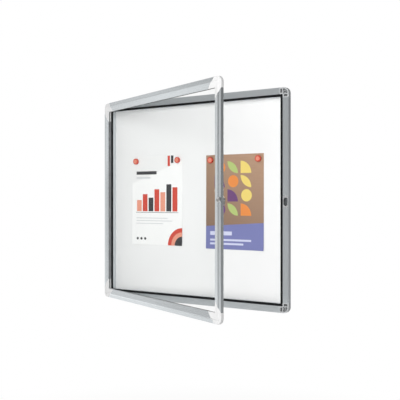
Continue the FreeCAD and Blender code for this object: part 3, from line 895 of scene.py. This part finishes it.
class NOTICEBOARD_OT_mouldings(BoardOperator):
    """Finish the moulded corners of the case and the caps of the door"""

    bl_idname = "notice_board.mouldings"
    bl_label = "Corners and caps"

    def execute(self, context):
        colours = context.scene.notice_board_colours
        grey = moulded_finish("grey_moulding", colours.case_corner, roughness=0.46,
                              grain=900.0, grain_depth=0.00005, painted_pocket_shade=True)
        pale = moulded_finish("pale_moulding", colours.door_cap, roughness=0.36,
                              grain=1200.0, grain_depth=0.00003, sheen=0.25)
        dress([f"case_corner_{corner}" for corner in CORNERS], grey)
        dress([f"door_cap_{corner}" for corner in CORNERS], pale)
        return {"FINISHED"}


class NOTICEBOARD_OT_seals(BoardOperator):
    """Finish the rubber seal of the case and the gasket round the pane"""

    bl_idname = "notice_board.seals"
    bl_label = "Seal and gasket"

    def execute(self, context):
        colours = context.scene.notice_board_colours
        black = rubber_finish("black_seal", colours.seal, dust=0.06)
        grey = rubber_finish("grey_gasket", colours.gasket, dust=0.1)
        dress([f"seal_{side}" for side in SIDES], black)
        dress([f"gasket_{side}" for side in SIDES], grey)
        return {"FINISHED"}


class NOTICEBOARD_OT_panel(BoardOperator):
    """Finish the enamelled sheet, its fibre core and its back sheet"""

    bl_idname = "notice_board.panel"
    bl_label = "Panel"

    def execute(self, context):
        enamel = context.scene.notice_board_colours.enamel
        dress(["panel_sheet"], enamel_finish("white_enamel", enamel))
        dress(["panel_core"], fibre_finish("fibre_core"))
        dress(["panel_back"], galvanised_finish("back_sheet"))
        return {"FINISHED"}


class NOTICEBOARD_OT_pane(BoardOperator):
    """Finish the clear pane of the door"""

    bl_idname = "notice_board.pane"
    bl_label = "Pane"

    def execute(self, context):
        glass = context.scene.notice_board_colours.glass
        dress(["pane"], pane_finish("clear_pane", glass))
        return {"FINISHED"}


class NOTICEBOARD_OT_lock(BoardOperator):
    """Finish the lock, its cam and the keeper"""

    bl_idname = "notice_board.lock"
    bl_label = "Lock and keeper"

    def execute(self, context):
        colours = context.scene.notice_board_colours
        chrome = plated_finish("bright_plate", colours.chrome, roughness=0.10, scratches=0.6)
        zinc = plated_finish("zinc_plate", colours.zinc, roughness=0.32, scratches=1.0)
        insert = moulded_finish("keeper_moulding", colours.keeper, roughness=0.40,
                                grain=1000.0, grain_depth=0.00004)
        dress(["lock_plug"], chrome)
        dress(["lock_cam", "lock_clip", "hinge_pin_top", "hinge_pin_bottom"], zinc)
        dress(["keeper"], insert)
        mesh = lock_head_mesh("lock_head", context.scene.notice_board_sizes)
        add_piece("lock_head", mesh, chrome, "door", ["lock_housing"])
        return {"FINISHED"}


class NOTICEBOARD_OT_screw(BoardOperator):
    """Make the cross-headed screw that holds the cam"""

    bl_idname = "notice_board.screw"
    bl_label = "Cam screw"

    def execute(self, context):
        sizes = context.scene.notice_board_sizes
        colour = context.scene.notice_board_colours.zinc
        zinc = plated_finish("screw_plate", colour, roughness=0.28, scratches=1.0)
        point_length = 0.5 * MM
        seat = -sizes.screw_height
        end = seat - sizes.screw_length
        shaft = [
            (sizes.screw_radius, seat),
            (sizes.screw_shank, seat),
            (sizes.screw_shank, end + point_length),
            (sizes.screw_shank * 0.7, end),
            (0.0, end),
        ]
        shape = bmesh.new()
        screw_head(shape, sizes.screw_radius, sizes.screw_height)
        lathe(shape, shaft, segments=36)
        bmesh.ops.remove_doubles(shape, verts=shape.verts, dist=SAME_PLACE)
        matrix = on_lock_axis(Vector(LOCK["axis"]), sizes.cam_reach + sizes.screw_height)
        bmesh.ops.transform(shape, matrix=matrix, verts=shape.verts)
        mesh = as_mesh("cam_screw_head", shape, sharp_angle=35)
        add_piece("cam_screw_head", mesh, zinc, "lock_cylinder", ["cam_screw"])
        return {"FINISHED"}


class NOTICEBOARD_OT_sheets(BoardOperator):
    """Make the two printed sheets"""

    bl_idname = "notice_board.sheets"
    bl_label = "Sheets"

    def execute(self, context):
        sizes = context.scene.notice_board_sizes
        paper = context.scene.notice_board_colours.paper
        for side, finish in (("left", chart_sheet_finish), ("right", tile_sheet_finish)):
            node = f"notice_{side}"
            mesh = sheet_mesh(f"sheet_{side}", node, sizes.paper_lift, sizes.paper_wave)
            add_piece(f"sheet_{side}", mesh, finish(f"print_{side}", node, paper), "case",
                      [node])
        return {"FINISHED"}


class NOTICEBOARD_OT_magnets(BoardOperator):
    """Make the four red magnets at the sheets' top corners"""

    bl_idname = "notice_board.magnets"
    bl_label = "Magnets"

    def execute(self, context):
        sizes = context.scene.notice_board_sizes
        colours = context.scene.notice_board_colours
        for side in ("left", "right"):
            low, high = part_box(f"notice_{side}")
            inset = sizes.magnet_inset_x
            for hand, x in (("a", low.x + inset), ("b", high.x - inset)):
                middle = Vector((x, low.y, high.z - sizes.magnet_inset_z))
                name = f"magnet_{side}_{hand}"
                finish = magnet_finish(name, colours.magnet, colours.magnet_centre,
                                       middle, sizes.magnet_radius)
                mesh = magnet_mesh(name, middle, sizes.magnet_radius, sizes.magnet_height)
                add_piece(name, mesh, finish, "case", ["magnets"])
        return {"FINISHED"}


class NOTICEBOARD_OT_stage(BoardOperator):
    """Set up the floor, the soft lamps, the surroundings and the camera"""

    bl_idname = "notice_board.stage"
    bl_label = "Stage"

    def execute(self, context):
        studio = context.scene.notice_board_studio
        self.make_floor(studio)
        self.make_world(context, studio)
        key = self.make_lamp("key_lamp", studio.key_power, (2.0, 2.0),
                             (0.50, -1.90, 0.45), (0.0, 0.0, 0.0))
        self.make_lamp("side_lamp", studio.side_power, (0.7, 1.9),
                       (-1.0, 0.0, 0.1), (0.0, 0.0, 0.1))
        self.make_lamp("rim_lamp", studio.rim_power, (0.34, 0.36),
                       (-1.0, -0.46, 0.32), (0.0, -0.16, 0.30))
        foot = self.make_lamp("foot_lamp", studio.foot_power, (0.9, 0.44),
                              (-1.15, 0.15, -0.91), (0.1, -0.20, -0.33))
        key.visible_camera = False
        key.visible_glossy = False
        key.visible_transmission = False
        foot.visible_camera = False
        self.make_camera(context, studio)
        context.scene.view_settings.view_transform = "Standard"
        return {"FINISHED"}

    def make_floor(self, studio):
        """A pale floor with a soft shadow; the eye sees it almost as white as the background."""
        radius = 2.4
        shape = bmesh.new()
        lathe(shape, [(0.0, 0.0), (radius / 2, 0.0), (radius, 0.0)], segments=64)
        bmesh.ops.translate(shape, verts=shape.verts, vec=(0.0, 0.0, -studio.floor_drop))
        floor = new_object("floor", as_mesh("floor", shape))
        material, shader = new_material("pale_floor")
        x, y, _ = shader.place().axes()
        whiteness = (x * x + y * y).smooth(0.8, 5.2, 0.85, 1.0)
        mottle = shader.noise(shader.place(), scale=3.0, detail=2.0)
        tone = mottle.spread().blend((0.93, 0.93, 0.93), (0.96, 0.96, 0.96))
        ground = shader.principled(Base_Color=tone, Roughness=0.9)
        white = shader.node("Emission", {}, {"Color": (1.0, 1.0, 1.0), "Strength": 1.0})
        pale = shader.node("MixShader", {}, [whiteness, ground, white])
        shader.surface(shader.node("MixShader", {}, [seen_directly(shader), ground, pale]))
        floor.data.materials.append(material)

    def make_world(self, context, studio):
        """Surroundings, brightest below and off the hinge side; white to the eye.

        A bearing is in radians from straight ahead, below 0 on the hinge side.
        """
        world = bpy.data.worlds.new("studio")
        context.scene.world = world
        world.use_nodes = True
        shader = Shader(world.node_tree)
        x, y, z = shader.node("TexCoord", {}, {}, "Generated").axes()
        bearing = shader.node("Math", {"operation": "ARCTAN2"}, [x, 0.0 - y])
        ahead = bearing.smooth(-0.53, -0.39, 0.56, 0.0) + bearing.smooth(-0.74, -0.54, 0.12, 0.0)
        beside = bearing.smooth(-1.45, -1.2, 0.16, 0.0)
        before_wall = bearing.smooth(-3.1, -2.5, 0.0, 1.0)
        lock_side = bearing.smooth(0.3, 1.2, 0.0, 0.12)
        all_round = 0.40
        around = (ahead + beside) * before_wall + lock_side + all_round
        steep = z.smooth(-0.22, 0.22, 1.35, 0.72)
        gentle = z.smooth(-0.24, -0.08, 0.60, 0.0) + z.smooth(-0.1, 0.2, 1.10, 0.82)
        aside = bearing.smooth(-1.1, -0.8, 1.0, 0.0)
        height = steep + (gentle - steep) * aside + z.smooth(0.5, 0.9, 0.0, 0.4)
        strength = around * height * studio.world_level
        light = shader.node("Background", {}, {"Color": (1.0, 1.0, 1.0), "Strength": strength})
        white = shader.node("Background", {}, {"Color": (1.0, 1.0, 1.0), "Strength": 1.0})
        mix = shader.node("MixShader", {}, [seen_directly(shader), light, white])
        shader.node("OutputWorld", {}, {"Surface": mix})

    def make_lamp(self, name, power, size, place, target):
        """A rectangular soft lamp that looks at a point."""
        lamp = bpy.data.lights.new(name, "AREA")
        lamp.energy = power
        lamp.shape = "RECTANGLE"
        lamp.size, lamp.size_y = size
        holder = new_object(name, lamp)
        holder.location = place
        look = Vector(target) - Vector(place)
        holder.rotation_euler = look.to_track_quat("-Z", "Y").to_euler()
        return holder

    def make_camera(self, context, studio):
        """The camera at the photograph's place."""
        data = bpy.data.cameras.new("camera")
        data.lens = studio.lens
        data.shift_x, data.shift_y = studio.camera_shift
        camera = new_object("camera", data)
        camera.location = studio.camera_place
        camera.rotation_euler = (math.radians(90), 0.0, studio.camera_turn)
        context.scene.camera = camera


GROUPS = {
    "notice_board_colours": NoticeBoardColours,
    "notice_board_sizes": NoticeBoardSizes,
    "notice_board_studio": NoticeBoardStudio,
}
OPERATORS = (
    NOTICEBOARD_OT_extrusions,
    NOTICEBOARD_OT_mouldings,
    NOTICEBOARD_OT_seals,
    NOTICEBOARD_OT_panel,
    NOTICEBOARD_OT_pane,
    NOTICEBOARD_OT_lock,
    NOTICEBOARD_OT_screw,
    NOTICEBOARD_OT_sheets,
    NOTICEBOARD_OT_magnets,
    NOTICEBOARD_OT_stage,
)


class NOTICEBOARD_PT_sidebar(bpy.types.Panel):
    """Lists the operators and their settings."""

    bl_label = "Notice Board"
    bl_space_type = "VIEW_3D"
    bl_region_type = "UI"
    bl_category = "Notice Board"

    def draw(self, context):
        for operator in OPERATORS:
            self.layout.operator(operator.bl_idname)
        for group in GROUPS:
            box = self.layout.box()
            settings = getattr(context.scene, group)
            for name in settings.bl_rna.properties.keys():
                if name not in ("rna_type", "name"):
                    box.prop(settings, name)


CLASSES = (*GROUPS.values(), *OPERATORS, NOTICEBOARD_PT_sidebar)


def register():
    for each in CLASSES:
        bpy.utils.register_class(each)
    for name, group in GROUPS.items():
        setattr(bpy.types.Scene, name, bpy.props.PointerProperty(type=group))


def unregister():
    for name in GROUPS:
        delattr(bpy.types.Scene, name)
    for each in reversed(CLASSES):
        bpy.utils.unregister_class(each)


def main():
    """Dress the board and set the stage."""
    register()
    for operator in OPERATORS:
        name = operator.bl_idname.split(".")[1]
        getattr(bpy.ops.notice_board, name)()


if __name__ == "__main__":
    main()
